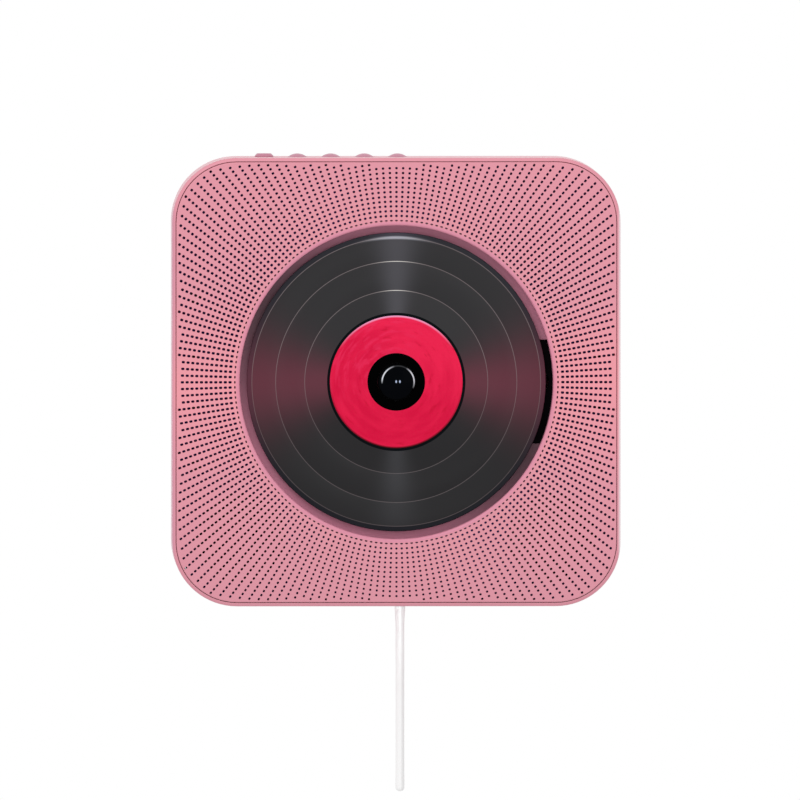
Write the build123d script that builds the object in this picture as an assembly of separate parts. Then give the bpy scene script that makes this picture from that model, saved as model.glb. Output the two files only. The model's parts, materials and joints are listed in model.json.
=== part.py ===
from build123d import *

import os
from math import acos, cos, degrees, pi, radians, sin, tan

# A wall-mounted disc player: a square, softly cornered box with a perforated front around an open
# round well, in which the disc turns in full view. It hangs on two hooks of a wall bracket, has five
# buttons along its top edge, and is switched on and off by a short white cord under it.
#
# Millimetres. X is to the right, Y into the wall, Z up. The origin is on the wall, on the spindle's
# axis. A depth is a distance off the wall, so the point at depth d has y = -d.

# --- Driving dimensions -------------------------------------------------------------------------
WIDTH = 180.0  # the casing is square
CORNER = 26.0  # radius of its corners
SHELL_BACK, SHELL_FRONT = 2.6, 39.6
WALL = 2.6  # thickness of the casing's side wall
RIM = 1.4  # what the rim shows round the grille
FRONT_ROUND, BACK_ROUND = 1.4, 2.4  # radii of the casing's front and back edges
BOSS_RADIUS = 3.4
CASE_THREAD, BAFFLE_THREAD, SMALL_THREAD = 1.25, 1.05, 0.85  # radii that screws bite in
GRILLE_GAP = 0.3
GRILLE_BACK, GRILLE_FRONT = 38.0, 40.0
GRILLE_EDGE = 0.4
GRILLE_LIP = 1.0  # radius of the grille's edge round the well
PEG_RADIUS = 1.5
HOLE_RAYS = 200  # the grille's holes lie on evenly spaced rays from the spindle, in circles
HOLE_FIRST, HOLE_PITCH = 64.85, 1.912  # radius of the first circle of holes, and their spacing
HOLES_HALF, HOLES_CORNER = 87.3, 23.3  # the rounded square that the holes' centres keep inside
HOLE_RADIUS = 0.6
RAY_STEP, CIRCLE_STEP = 5, 2  # of those holes, the solid has every fifth ray and every second circle
BAFFLE_BACK, BAFFLE_FRONT = 36.0, 37.6

WELL_RADIUS = 62.9
WELL_WALL = 1.8
WELL_FLOOR_BACK, WELL_FLOOR_FRONT = 30.7, 32.5
WELL_TOP = 37.7
WELL_FLANGE_RADIUS, WELL_FLANGE_THICK = 70.5, 1.6

DISC_RADIUS = 60.0  # a standard disc
DISC_HOLE = 7.5
DISC_BACK, DISC_FRONT = 34.8, 36.0
LABEL_OUTER, LABEL_INNER, LABEL_THICK = 26.65, 11.55, 0.15

COVER_BACK, COVER_FRONT = 2.0, 4.2
POCKET_FLOOR_BACK, POCKET_FLOOR_FRONT = 4.6, 6.6
POCKET_HALF, POCKET_LOW, POCKET_HIGH, POCKET_WALL = 41.0, -31.5, 22.5, 2.0
VENTS, VENT_PITCH, VENT_HEIGHT = 7, 5.0, 2.0
LOW_VENT, HIGH_VENT = 26.0, 34.0  # lengths of the vents behind the speakers, and of those at the top
HIGH_VENT_X, HIGH_VENT_Z = 30.0, 57.0
BUMPER_RADIUS = 6.0

BRACKET_WIDTH, BRACKET_HEIGHT, BRACKET_THICK = 76.0, 40.0, 2.2
BRACKET_HOLES = (30.0, 12.0)  # half the spacings of the four wall screws
BRACKET_HOLE_RADIUS = 2.25
HOOK_X, HOOK_WIDTH, HOOK_TOP = 14.0, 12.0, 8.0
HOOK_THICK, HOOK_LIP_THICK, HOOK_LIP = 2.0, 1.5, 7.0  # its shelf, its lip, and the lip's height
HOOK_SLOT = 12.0  # height of the slot that each hook goes through

BUTTON_NAMES = ("play", "previous", "next", "volume_down", "volume_up")
BUTTON_FIRST_X, BUTTON_PITCH = -52.8, 13.4
BUTTON_RADIUS, BUTTON_PROUD, BUTTON_DEPTH = 3.75, 1.4, 20.0
BUTTON_DOME = 1.3  # height of a cap's crown
BUTTON_CLEARANCE = 0.2
BUTTON_STEM_END, BUTTON_STEM_RADIUS = 83.6, 1.2
BUTTON_FLANGE_RADIUS, BUTTON_FLANGE_LOW = 4.8, 85.6

CORD_X, CORD_DEPTH, CORD_RADIUS = 1.8, 20.0, 1.75
CORD_END = -165.0  # lowest point of the cord's moulded tip
CORD_TIP_LENGTH = 5.0
SLEEVE_TOP, SLEEVE_END, SLEEVE_RADIUS = -90.6, -97.0, 2.15
ROD_TOP = -62.5
COLLAR_Z = -73.5  # the rod's collar, which the return spring pushes up

SPEAKER_X, SPEAKER_Z = 62.5, -62.5
SPEAKER_OPENING, SPEAKER_FLANGE_RADIUS = 18.2, 22.0
SPEAKER_FLANGE_BACK, SPEAKER_SCREW_RADIUS = 34.4, 20.3

# The black cover in the well's floor, from left of the hub to the well's right wall.
DECK_BACK, DECK_FRONT = 31.5, 32.9
DECK_LEFT, DECK_LOW, DECK_HIGH = -20.0, -24.8, 16.8
LENS_SLOT, LENS_SLOT_END = 4.6, 61.5  # half its width, and its round end

# The transport: its plate lies behind the well's floor, and the sled runs towards +X.
PLATE_BACK, PLATE_FRONT = 24.5, 26.5
GROMMET_FRONT = PLATE_FRONT + 1.7
SPINDLE_CAN_RADIUS, SPINDLE_CAN_BACK = 12.2, 12.5
LENS_X = 24.5  # the lens at its innermost track
SLED_INNER, SLED_OUTER = 13.2, 38.0
SLED_HALF = 19.0
SLED_BACK, SLED_FRONT = 16.5, 28.5
ROD_DEPTH, ROD_Z = 20.5, 15.5
MAIN_ROD_RADIUS, SIDE_ROD_RADIUS = 1.5, 1.0

# The gear train, with stub teeth: rack and small wheel of one module, large wheel and motor pinion
# of another.
PRESSURE_ANGLE = radians(25)
ADDENDUM, DEDENDUM = 0.75, 1.0  # in modules
BACKLASH = 0.12
RACK_MODULE, SMALL_TEETH = 0.8, 12
DRIVE_MODULE, LARGE_TEETH, PINION_TEETH = 0.6, 40, 10
RACK_PITCH_Z = 21.0
GEAR_X = 34.0
LARGE_WHEEL = (13.5, 15.5)  # the large wheel's depths
PINION_BEARING = 50.0  # degrees, from the large wheel's centre to the motor pinion's

# --- Worked out from them -----------------------------------------------------------------------
HALF = WIDTH / 2
INNER_HALF = HALF - WALL
INNER_CORNER = CORNER - WALL
OPENING_HALF = HALF - RIM  # the rim's inner edge
OPENING_CORNER = CORNER - RIM
GRILLE_HALF = OPENING_HALF - GRILLE_GAP
GRILLE_CORNER = OPENING_CORNER - GRILLE_GAP
WELL_OUTER = WELL_RADIUS + WELL_WALL
GEAR_Z = RACK_PITCH_Z + RACK_MODULE * SMALL_TEETH / 2
DRIVE_CENTRES = DRIVE_MODULE * (LARGE_TEETH + PINION_TEETH) / 2
PINION_X = GEAR_X + DRIVE_CENTRES * cos(radians(PINION_BEARING))
PINION_Z = GEAR_Z + DRIVE_CENTRES * sin(radians(PINION_BEARING))

BUTTON_X = [BUTTON_FIRST_X + BUTTON_PITCH * n for n in range(len(BUTTON_NAMES))]


# --- Shapes -------------------------------------------------------------------------------------
def prism(outline, back, front):
    """A solid with this outline in X and Z, between two depths."""
    return extrude(Plane.XZ.offset(back) * outline, front - back)


def rounded_square(half, corner):
    return RectangleRounded(2 * half, 2 * half, corner)


def block(x0, x1, z0, z1, back, front):
    centre = Pos((x0 + x1) / 2, -(back + front) / 2, (z0 + z1) / 2)
    return centre * Box(x1 - x0, front - back, z1 - z0)


def post(x, z, radius, back, front):
    """A cylinder that stands out from the wall."""
    return Pos(x, -(back + front) / 2, z) * Rot(90, 0, 0) * Cylinder(radius, front - back)


def bar_x(x0, x1, depth, z, radius):
    return Pos((x0 + x1) / 2, -depth, z) * Rot(0, 90, 0) * Cylinder(radius, x1 - x0)


def bar_z(x, depth, radius, z0, z1):
    return Pos(x, -depth, (z0 + z1) / 2) * Cylinder(radius, z1 - z0)


def tube(x, z, outer, inner, back, front):
    return post(x, z, outer, back, front) - post(x, z, inner, back - 1, front + 1)


def turned(profile, x=0.0, z=0.0):
    """A solid turned about an axis square to the wall. The profile holds (radius, depth) points."""
    face = make_face(Polyline(*[(r, -d) for r, d in profile], close=True))
    return Pos(x, 0, z) * revolve(face, Axis.Y)


def turned_upright(profile, x, depth):
    """A solid turned about an upright axis. The profile holds (radius, z) points."""
    face = make_face(Polyline(*[(r, 0, z) for r, z in profile], close=True))
    return Pos(x, -depth, 0) * revolve(face, Axis.Z)


def crown_radius(half_width, height):
    """The radius of the sphere whose cap has this half width and height."""
    return (half_width**2 + height**2) / (2 * height)


def front_edges(solid):
    return solid.faces().sort_by(Axis.Y)[0].edges()


def back_edges(solid):
    return solid.faces().sort_by(Axis.Y)[-1].edges()


def group(solids):
    """Separate solids that share a node."""
    return Compound(children=[s for item in solids for s in item.solids()])


def polar(radius, angle):
    """A point by its radius and its angle in degrees."""
    return (radius * cos(radians(angle)), radius * sin(radians(angle)))


# --- Where things are screwed and plugged together ----------------------------------------------
CASE_BOSSES = [(sx * 80.5, sz * 34.0) for sx in (-1, 1) for sz in (-1, 1)]
BUMPERS = [(sx * 72.0, sz * 72.0) for sx in (-1, 1) for sz in (-1, 1)]
DAMPERS = [(x, sz * 27.0) for x in (-14.0, 52.0) for sz in (-1, 1)]
BOARD_POSTS = [(sx * x, z) for sx in (-1, 1) for x, z in ((54.0, -40.0), (36.0, -66.0))]
WELL_SCREWS = [polar(67.6, 60 * n) for n in range(6)]
GRILLE_PEGS = [(sx * 81.0, sz * 10.0) for sx in (-1, 1) for sz in (-1, 1)]
GRILLE_PEGS += [(sx * 10.0, 79.0) for sx in (-1, 1)]
SPEAKERS = [(-SPEAKER_X, SPEAKER_Z), (SPEAKER_X, SPEAKER_Z)]
SPEAKER_SCREWS = [
    (x + dx, z + dz)
    for x, z in SPEAKERS
    for dx, dz in [polar(SPEAKER_SCREW_RADIUS, 90 * n) for n in range(4)]
]
BUTTON_BOARD_LOW, BUTTON_BOARD_TOP = 78.2, 79.8
BUTTON_BOARD_X, BUTTON_BOARD_DEPTHS = (-61.0, 9.0), (13.0, 28.0)
BOARD_STUDS, STUD_DEPTH, STUD_RADIUS = (-46.1, -5.9), 24.5, 2.0
CASE_SCREW_TIP, BAFFLE_SCREW_TIP = 15.0, 29.0
MAIN_BOARD_BACK, MAIN_BOARD_FRONT = 8.0, 9.6
MAIN_BOARD_HALF, MAIN_BOARD_LOW, MAIN_BOARD_HIGH = 60.0, -85.5, -35.5
JACK_X, JACK_DEPTH, JACK_RADIUS = 30.0, 13.6, 3.2
GLAND_RADIUS = 3.25
RIBBON_X, RIBBON_HALF = -5.0, 8.0
RIBBON_SOCKET_DEPTH, RIBBON_SOCKET_TOP = 11.0, -52.5


# --- Casing -------------------------------------------------------------------------------------
def housing_shell():
    """The casing's frame: four walls, a rim round the grille, four screw bosses."""
    shell = prism(rounded_square(HALF, CORNER), SHELL_BACK, SHELL_FRONT)
    shell = fillet(front_edges(shell), FRONT_ROUND)
    shell = fillet(back_edges(shell), BACK_ROUND)
    shell -= prism(rounded_square(INNER_HALF, INNER_CORNER), 0, WIDTH)
    shell -= prism(rounded_square(OPENING_HALF, OPENING_CORNER), GRILLE_BACK - 0.1, WIDTH)
    for x, z in CASE_BOSSES:
        side = 1 if x > 0 else -1
        reach = sorted((x, side * (INNER_HALF + 1)))
        shell += post(x, z, BOSS_RADIUS, COVER_FRONT, BAFFLE_BACK)
        shell += block(*reach, z - 1, z + 1, COVER_FRONT, BAFFLE_BACK)
    for x, z in CASE_BOSSES:
        shell -= post(x, z, CASE_THREAD, 0, CASE_SCREW_TIP + 2)
        shell -= post(x, z, BAFFLE_THREAD, BAFFLE_SCREW_TIP - 2, WIDTH)
    for x in BUTTON_X:
        shell -= bar_z(x, BUTTON_DEPTH, BUTTON_RADIUS + BUTTON_CLEARANCE, HALF - 5, HALF + 2)
    for x in BOARD_STUDS:
        shell += bar_z(x, STUD_DEPTH, STUD_RADIUS, BUTTON_BOARD_TOP, INNER_HALF + 0.5)
        shell -= bar_z(x, STUD_DEPTH, SMALL_THREAD, BUTTON_BOARD_TOP - 1, INNER_HALF - 1)
    shell -= bar_z(CORD_X, CORD_DEPTH, GLAND_RADIUS + 0.05, -HALF - 1, -INNER_HALF + 1)
    return shell - bar_z(JACK_X, JACK_DEPTH, JACK_RADIUS + 0.2, -HALF - 1, -INNER_HALF + 1)


def in_rounded_square(x, z, half, corner):
    dx, dz = (max(abs(c) - (half - corner), 0) for c in (x, z))
    return dx**2 + dz**2 <= corner**2


def grille_holes():
    """Where the grille's holes are: on rays from the spindle, from the second circle outwards."""
    centres = []
    radius = HOLE_FIRST + HOLE_PITCH
    while radius < 1.5 * HOLES_HALF:
        ring = [polar(radius, 360 * n / HOLE_RAYS) for n in range(0, HOLE_RAYS, RAY_STEP)]
        centres += [p for p in ring if in_rounded_square(*p, HOLES_HALF, HOLES_CORNER)]
        radius += HOLE_PITCH * CIRCLE_STEP
    return centres


def front_grille():
    """The perforated front plate, with a rounded lip round the well and pegs into the baffle."""
    grille = prism(rounded_square(GRILLE_HALF, GRILLE_CORNER), GRILLE_BACK, GRILLE_FRONT)
    grille = fillet(front_edges(grille), GRILLE_EDGE)
    grille -= post(0, 0, WELL_RADIUS, GRILLE_BACK - 1, GRILLE_FRONT + 1)
    lip = front_edges(grille).filter_by(GeomType.CIRCLE).sort_by(SortBy.RADIUS)[-1]
    grille = fillet(lip, GRILLE_LIP)
    grille -= [post(x, z, HOLE_RADIUS, GRILLE_BACK - 1, GRILLE_FRONT + 1) for x, z in grille_holes()]
    for x, z in GRILLE_PEGS:
        grille += post(x, z, PEG_RADIUS, BAFFLE_BACK + 0.3, GRILLE_BACK + 0.2)
    return grille


def speaker_baffle():
    """The black plate behind the grille, which carries the speakers and the well."""
    baffle = prism(rounded_square(INNER_HALF - 0.3, INNER_CORNER - 0.3), BAFFLE_BACK, BAFFLE_FRONT)

    def holes(places, radius, back=BAFFLE_BACK - 1, front=BAFFLE_FRONT + 1):
        return [post(x, z, radius, back, front) for x, z in places]

    openings = holes([(0, 0)], WELL_OUTER + 0.2) + holes(SPEAKERS, SPEAKER_OPENING)
    openings += holes(CASE_BOSSES, 1.3) + holes(CASE_BOSSES, 2.6, back=BAFFLE_FRONT - 0.9)
    openings += holes(GRILLE_PEGS, PEG_RADIUS + 0.1)
    openings += holes(WELL_SCREWS + SPEAKER_SCREWS, SMALL_THREAD, front=BAFFLE_FRONT - 0.3)
    for opening in openings:
        baffle -= opening
    return baffle


def deck_outline(grow):
    """The mechanism cover's outline: a rectangle cut round where it meets the well's wall."""
    low, high, left = DECK_LOW - grow, DECK_HIGH + grow, DECK_LEFT - grow
    sheet = Pos((left + 80) / 2, (low + high) / 2) * Rectangle(80 - left, high - low)
    return sheet & Circle(WELL_RADIUS - 0.15 + grow)


def disc_well():
    """The round recess, its flange behind the baffle, and the posts that carry the transport."""
    bowl = post(0, 0, WELL_OUTER, WELL_FLOOR_BACK, WELL_TOP)
    bowl += post(0, 0, WELL_FLANGE_RADIUS, BAFFLE_BACK - WELL_FLANGE_THICK, BAFFLE_BACK)
    bowl -= post(0, 0, WELL_RADIUS, WELL_FLOOR_FRONT, WELL_TOP + 1)
    for x, z in SPEAKERS:
        bowl -= post(x, z, SPEAKER_FLANGE_RADIUS + 0.4, BAFFLE_BACK - 2, BAFFLE_BACK + 0.1)
    for x, z in DAMPERS:
        bowl += post(x, z, 3.6, GROMMET_FRONT, WELL_FLOOR_BACK + 0.1)
    bowl -= prism(deck_outline(0.1), DECK_BACK, WELL_FLOOR_FRONT + 1)
    bowl -= prism(deck_outline(-1.2), WELL_FLOOR_BACK - 1, WELL_FLOOR_FRONT)
    for x, z in DAMPERS:
        bowl -= post(x, z, 0.9, PLATE_FRONT, WELL_FLOOR_FRONT - 0.5)
    for x, z in WELL_SCREWS:
        bowl -= post(x, z, 1.15, BAFFLE_BACK - 2, BAFFLE_BACK + 1)
    return bowl


def mechanism_cover():
    """The black cover in the well's floor, open round the hub and along the lens's way."""
    cover = prism(deck_outline(0), DECK_BACK, DECK_FRONT)
    cover = chamfer(front_edges(cover), 0.3)
    last = LENS_SLOT_END - LENS_SLOT
    opening = Circle(15.6) + Pos(last / 2, 0) * Rectangle(last, 2 * LENS_SLOT)
    opening += Pos(last, 0) * Circle(LENS_SLOT)
    return cover - prism(opening, DECK_BACK - 1, DECK_FRONT + 1)


def rear_cover():
    """The back, with a pocket for the wall bracket, vents, and posts for the main board."""
    cover = prism(rounded_square(INNER_HALF - 0.3, INNER_CORNER - 0.3), COVER_BACK, COVER_FRONT)
    half, low, high = POCKET_HALF + POCKET_WALL, POCKET_LOW - POCKET_WALL, POCKET_HIGH + POCKET_WALL
    cover += block(-half, half, low, high, COVER_BACK, POCKET_FLOOR_FRONT)
    cover -= block(-POCKET_HALF, POCKET_HALF, POCKET_LOW, POCKET_HIGH, 0, POCKET_FLOOR_BACK)
    slot_top = HOOK_TOP + 0.05
    for side in (-1, 1):
        x = side * HOOK_X
        half = HOOK_WIDTH / 2 + 0.5
        cover -= block(x - half, x + half, slot_top - HOOK_SLOT, slot_top, 0, POCKET_FLOOR_FRONT + 1)
        for n in range(VENTS):
            rise = VENT_PITCH * (n - (VENTS - 1) / 2)
            for x, z, length in ((SPEAKER_X, SPEAKER_Z, LOW_VENT), (HIGH_VENT_X, HIGH_VENT_Z, HIGH_VENT)):
                vent = Pos(side * x, z + rise) * SlotOverall(length, VENT_HEIGHT)
                cover -= prism(vent, 0, COVER_FRONT + 1)
    for x, z in BOARD_POSTS:
        cover += post(x, z, 2.8, COVER_FRONT - 0.2, MAIN_BOARD_BACK)
        cover -= post(x, z, 0.85, COVER_FRONT, MAIN_BOARD_BACK + 1)
    for x, z in CASE_BOSSES:
        cover -= post(x, z, 1.6, 0, COVER_FRONT + 1)
        cover -= post(x, z, 3.1, 0, COVER_BACK + 1.2)
    for x, z in BUMPERS:
        cover -= post(x, z, BUMPER_RADIUS + 0.1, 0, COVER_BACK + 0.5)
    return cover


def rubber_bumpers():
    pads = []
    for x, z in BUMPERS:
        pad = post(x, z, BUMPER_RADIUS, 0, COVER_BACK + 0.5)
        pads.append(chamfer(back_edges(pad), 0.4))
    return group(pads)


def wall_bracket():
    """The plate on the wall, with four screw holes and two hooks."""
    plate = prism(RectangleRounded(BRACKET_WIDTH, BRACKET_HEIGHT, 5), 0, BRACKET_THICK)
    plate = chamfer(front_edges(plate), 0.4)
    lip_back = POCKET_FLOOR_FRONT + 0.4
    for side in (-1, 1):
        x0, x1 = side * HOOK_X - HOOK_WIDTH / 2, side * HOOK_X + HOOK_WIDTH / 2
        low, lip_front = HOOK_TOP - HOOK_THICK, lip_back + HOOK_LIP_THICK
        plate += block(x0, x1, low, HOOK_TOP, BRACKET_THICK - 0.2, lip_front)
        plate += block(x0, x1, low, HOOK_TOP + HOOK_LIP, lip_back, lip_front)
    for sx in (-1, 1):
        for sz in (-1, 1):
            x, z = sx * BRACKET_HOLES[0], sz * BRACKET_HOLES[1]
            plate -= post(x, z, BRACKET_HOLE_RADIUS, -1, BRACKET_THICK + 1)
    return plate


# --- Screws -------------------------------------------------------------------------------------
def screw(x, z, head_radius, head, shank_radius, tip, way=1):
    """A pan-head screw square to the wall. The head's top is at this depth and is 1.2 thick. The
    shank runs to the tip, away from the wall if way is 1 and towards it if way is -1."""
    body = post(x, z, head_radius, *sorted((head, head + way * 1.2)))
    body = fillet(back_edges(body) if way == 1 else front_edges(body), 0.4)
    body += post(x, z, shank_radius, *sorted((head + way * 1.1, tip)))
    for turn in (0, 90):
        body -= Pos(x, -head - way * 0.2, z) * Rot(0, turn, 0) * Box(head_radius * 1.2, 0.5, 0.5)
    return body


def case_screws():
    return group([screw(x, z, 2.9, COVER_BACK, 1.2, CASE_SCREW_TIP) for x, z in CASE_BOSSES])


def inner_screws():
    """The small screws: baffle, well flange, speakers, transport and main board."""
    head = BAFFLE_FRONT + 0.3
    screws = [screw(x, z, 2.4, head, 1.0, BAFFLE_SCREW_TIP, way=-1) for x, z in CASE_BOSSES]
    for x, z in WELL_SCREWS:
        screws.append(screw(x, z, 1.9, BAFFLE_BACK - 2.8, 0.8, BAFFLE_FRONT - 0.4))
    for x, z in SPEAKER_SCREWS:
        screws.append(screw(x, z, 1.4, SPEAKER_FLANGE_BACK - 1.2, 0.8, BAFFLE_FRONT - 0.4))
    for x, z in DAMPERS:
        screws.append(screw(x, z, 2.6, PLATE_BACK - 2.4, 0.85, WELL_FLOOR_FRONT - 0.6))
    for x, z in BOARD_POSTS:
        screws.append(screw(x, z, 2.0, MAIN_BOARD_FRONT + 1.2, 0.8, COVER_FRONT + 0.2, way=-1))
    return group(screws)


# --- Buttons and boards -------------------------------------------------------------------------
def button(x, crowned):
    """A round cap, crowned or flat on top, a flange that keeps it in, and a stem to its switch."""
    top = HALF + BUTTON_PROUD
    cap = bar_z(x, BUTTON_DEPTH, BUTTON_RADIUS, BUTTON_FLANGE_LOW + 0.4, top)
    if crowned:
        sphere = crown_radius(BUTTON_RADIUS, BUTTON_DOME)
        cap = cap & Pos(x, -BUTTON_DEPTH, top - sphere) * Sphere(sphere)
    else:
        cap = chamfer(cap.faces().sort_by(Axis.Z)[-1].edges(), 0.9)
    cap += bar_z(x, BUTTON_DEPTH, BUTTON_FLANGE_RADIUS, BUTTON_FLANGE_LOW, INNER_HALF - 0.1)
    return cap + bar_z(x, BUTTON_DEPTH, BUTTON_STEM_RADIUS, BUTTON_STEM_END, BUTTON_FLANGE_LOW + 0.1)


def button_board():
    """The switches' board, and its two screws up into the casing."""
    board = block(*BUTTON_BOARD_X, BUTTON_BOARD_LOW, BUTTON_BOARD_TOP, *BUTTON_BOARD_DEPTHS)
    screws = []
    for x in BOARD_STUDS:
        board -= bar_z(x, STUD_DEPTH, 1.1, 70, 90)
        head = bar_z(x, STUD_DEPTH, 1.9, BUTTON_BOARD_LOW - 1.1, BUTTON_BOARD_LOW)
        screws.append(head + bar_z(x, STUD_DEPTH, 0.8, BUTTON_BOARD_LOW - 0.1, BUTTON_BOARD_TOP + 4))
    return group([board, *screws])


def tact_switches():
    switches = []
    for x in BUTTON_X:
        body = block(x - 3, x + 3, BUTTON_BOARD_TOP, 82.0, BUTTON_DEPTH - 3, BUTTON_DEPTH + 3)
        switches.append(body + bar_z(x, BUTTON_DEPTH, 1.7, 81.9, 82.7))
    return group(switches)


def main_board():
    half = MAIN_BOARD_HALF
    board = block(-half, half, MAIN_BOARD_LOW, MAIN_BOARD_HIGH, MAIN_BOARD_BACK, MAIN_BOARD_FRONT)
    for x, z in BOARD_POSTS:
        board -= post(x, z, 1.1, MAIN_BOARD_BACK - 1, MAIN_BOARD_FRONT + 1)
    return board


def board_chips():
    """The packages on the main board: decoder, amplifier, memory and connectors."""
    chips = (
        (-34, -20, -52, -38, 1.6),
        (20, 32, -52, -44, 1.8),
        (10, 16, -50, -42, 1.4),
        (-50, -40, -54, -49, 4.5),
        (40, 50, -54, -49, 4.5),
        (RIBBON_X - 10, RIBBON_X + 10, RIBBON_SOCKET_TOP - 2.5, RIBBON_SOCKET_TOP, 2.8),
    )
    base = MAIN_BOARD_FRONT
    return group([block(x0, x1, z0, z1, base, base + tall) for x0, x1, z0, z1, tall in chips])


def capacitors():
    cans = []
    for x, z, radius, tall in ((14, -66, 4, 11), (23, -64, 4, 11), (44, -58.5, 3.2, 8), (-30, -62, 2.5, 7)):
        can = post(x, z, radius, MAIN_BOARD_FRONT, MAIN_BOARD_FRONT + tall)
        cans.append(fillet(front_edges(can), 0.5))
    return group(cans)


def power_jack():
    """A barrel socket on the board, its mouth through the casing's underside."""
    x = JACK_X
    jack = block(x - 4.5, x + 4.5, -87.2, -75, MAIN_BOARD_FRONT, JACK_DEPTH + 4)
    jack += bar_z(x, JACK_DEPTH, JACK_RADIUS, -89.6, -87)
    jack -= bar_z(x, JACK_DEPTH, 2.75, -95, -79)
    return jack + bar_z(x, JACK_DEPTH, 0.8, -88.6, -78)


# --- Speakers -----------------------------------------------------------------------------------
def speaker_basket(x, z):
    """A pressed frame: a flange behind the baffle, and a windowed cone down to the magnet."""
    basket = turned(
        [(17.6, BAFFLE_BACK), (SPEAKER_FLANGE_RADIUS, BAFFLE_BACK),
         (SPEAKER_FLANGE_RADIUS, SPEAKER_FLANGE_BACK), (18.4, SPEAKER_FLANGE_BACK), (9.6, 25.6),
         (9.6, 24.8), (6.0, 24.8), (6.0, 25.8), (8.8, 25.8), (17.6, 34.6)], x, z)
    for n in range(4):
        basket -= Pos(x, 0, z) * Rot(0, 45 + 90 * n, 0) * Pos(13.8, -29.8, 0) * Box(6, 5.5, 9)
        dx, dz = polar(SPEAKER_SCREW_RADIUS, 90 * n)
        basket -= post(x + dx, z + dz, 1.0, 30, 40)
    return basket


def speaker_cone(x, z):
    """The diaphragm: rolled surround, paper cone, voice coil and dust cap."""
    return turned(
        [(17.4, 36.0), (17.4, 35.4), (16.4, 35.4), (15.6, 36.2), (14.6, 36.2), (13.8, 35.2), (5.4, 29.0),
         (4.6, 29.0), (4.6, 26.4), (4.2, 26.4), (4.2, 29.6), (5.0, 30.0), (3.0, 31.6), (0, 32.2),
         (0, 32.8), (3.4, 32.1), (5.8, 30.3), (13.2, 35.8), (14.3, 36.9), (15.9, 36.9), (16.8, 36.0)], x, z)


def speaker_magnet(x, z):
    """Ferrite ring between two plates, with the pole piece in the middle."""
    return turned(
        [(0, 16.5), (11.4, 16.5), (11.4, 18.3), (12.2, 18.3), (12.2, 23.4), (11.4, 23.4), (11.4, 24.8),
         (4.9, 24.8), (4.9, 18.6), (3.8, 18.6), (3.8, 25.4), (0, 25.4)], x, z)


def speaker_wires():
    """A lead from each of two connectors on the main board to its speaker's frame."""
    wires = []
    for side in (-1, 1):
        points = [(side * 45, -12, -49), (side * 45, -12, -46), (side * 54, -13, -43.6),
                  (side * 60, -20, -44), (side * 61, -24.1, -46.6), (side * 61, -24.1, -51.15)]
        path = FilletPolyline(*points, radius=1.4)
        section = Plane(origin=path @ 0, z_dir=path % 0) * Circle(0.6)
        wires.append(sweep(section, path))
    return group(wires)


# --- Sled and its drive -------------------------------------------------------------------------
def wheel_outline(teeth, module, gap_at):
    """An involute wheel's outline. gap_at is the direction in degrees of the middle of one gap."""
    pitch = teeth * module / 2
    base = pitch * cos(PRESSURE_ANGLE)
    tip = pitch + ADDENDUM * module
    root = pitch - DEDENDUM * module
    start = max(base, root)

    def half_tooth(radius):
        """Half a tooth's angle in degrees at this radius."""
        slope = acos(min(1.0, base / radius))
        at_pitch = pi / (2 * teeth) - BACKLASH / (2 * pitch)
        angle = at_pitch + (tan(PRESSURE_ANGLE) - PRESSURE_ANGLE) - (tan(slope) - slope)
        return degrees(angle)

    edges = []
    step = 360 / teeth
    foot, top = half_tooth(start), half_tooth(tip)
    for n in range(teeth):
        centre = gap_at + step * (n + 0.5)
        if root < start:
            edges.append(Line(polar(root, centre - foot), polar(start, centre - foot)))
            edges.append(Line(polar(root, centre + foot), polar(start, centre + foot)))
        for side in (-1, 1):
            flank = [polar(r, centre + side * half_tooth(r)) for r in (start, (start + tip) / 2, tip)]
            edges.append(ThreePointArc(*flank))
        edges.append(ThreePointArc(*[polar(tip, centre + turn) for turn in (-top, 0, top)]))
        floor = [polar(min(root, start), centre + turn) for turn in (foot, step / 2, step - foot)]
        edges.append(ThreePointArc(*floor))
    return make_face(edges)


def sled_rack():
    """The rack on the sled's upper side, with a tooth under the small wheel's centre."""
    pitch = pi * RACK_MODULE
    teeth = 17
    root_z = RACK_PITCH_Z - DEDENDUM * RACK_MODULE
    tip_z = RACK_PITCH_Z + ADDENDUM * RACK_MODULE
    last = GEAR_X + pitch
    left, right = last - (teeth - 0.5) * pitch, last + pitch / 2
    half = pitch / 4 - BACKLASH / 2
    foot = half + DEDENDUM * RACK_MODULE * tan(PRESSURE_ANGLE)
    top = half - ADDENDUM * RACK_MODULE * tan(PRESSURE_ANGLE)
    points = [(left, SLED_HALF), (left, root_z)]
    for n in range(teeth):
        x = last - (teeth - 1 - n) * pitch
        points += [(x - foot, root_z), (x - top, tip_z), (x + top, tip_z), (x + foot, root_z)]
    points += [(right, root_z), (right, SLED_HALF)]
    return prism(make_face(Polyline(*points, close=True)), ROD_DEPTH - 1.5, ROD_DEPTH + 1.5)


def drive_gear():
    """The double wheel: the small one works the rack, the large one is driven by the motor."""
    small = Pos(GEAR_X, GEAR_Z) * wheel_outline(SMALL_TEETH, RACK_MODULE, -90)
    tooth_towards_pinion = PINION_BEARING + 180 / LARGE_TEETH
    large = Pos(GEAR_X, GEAR_Z) * wheel_outline(LARGE_TEETH, DRIVE_MODULE, tooth_towards_pinion)
    gear = prism(small, LARGE_WHEEL[1] - 0.1, ROD_DEPTH + 2.2)
    gear += prism(large, *LARGE_WHEEL)
    for n in range(5):
        dx, dz = polar(7.9, 72 * n)
        gear -= post(GEAR_X + dx, GEAR_Z + dz, 2.0, LARGE_WHEEL[0] - 0.5, LARGE_WHEEL[1] + 0.1)
    return gear - post(GEAR_X, GEAR_Z, 1.05, 10, 30)


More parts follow.
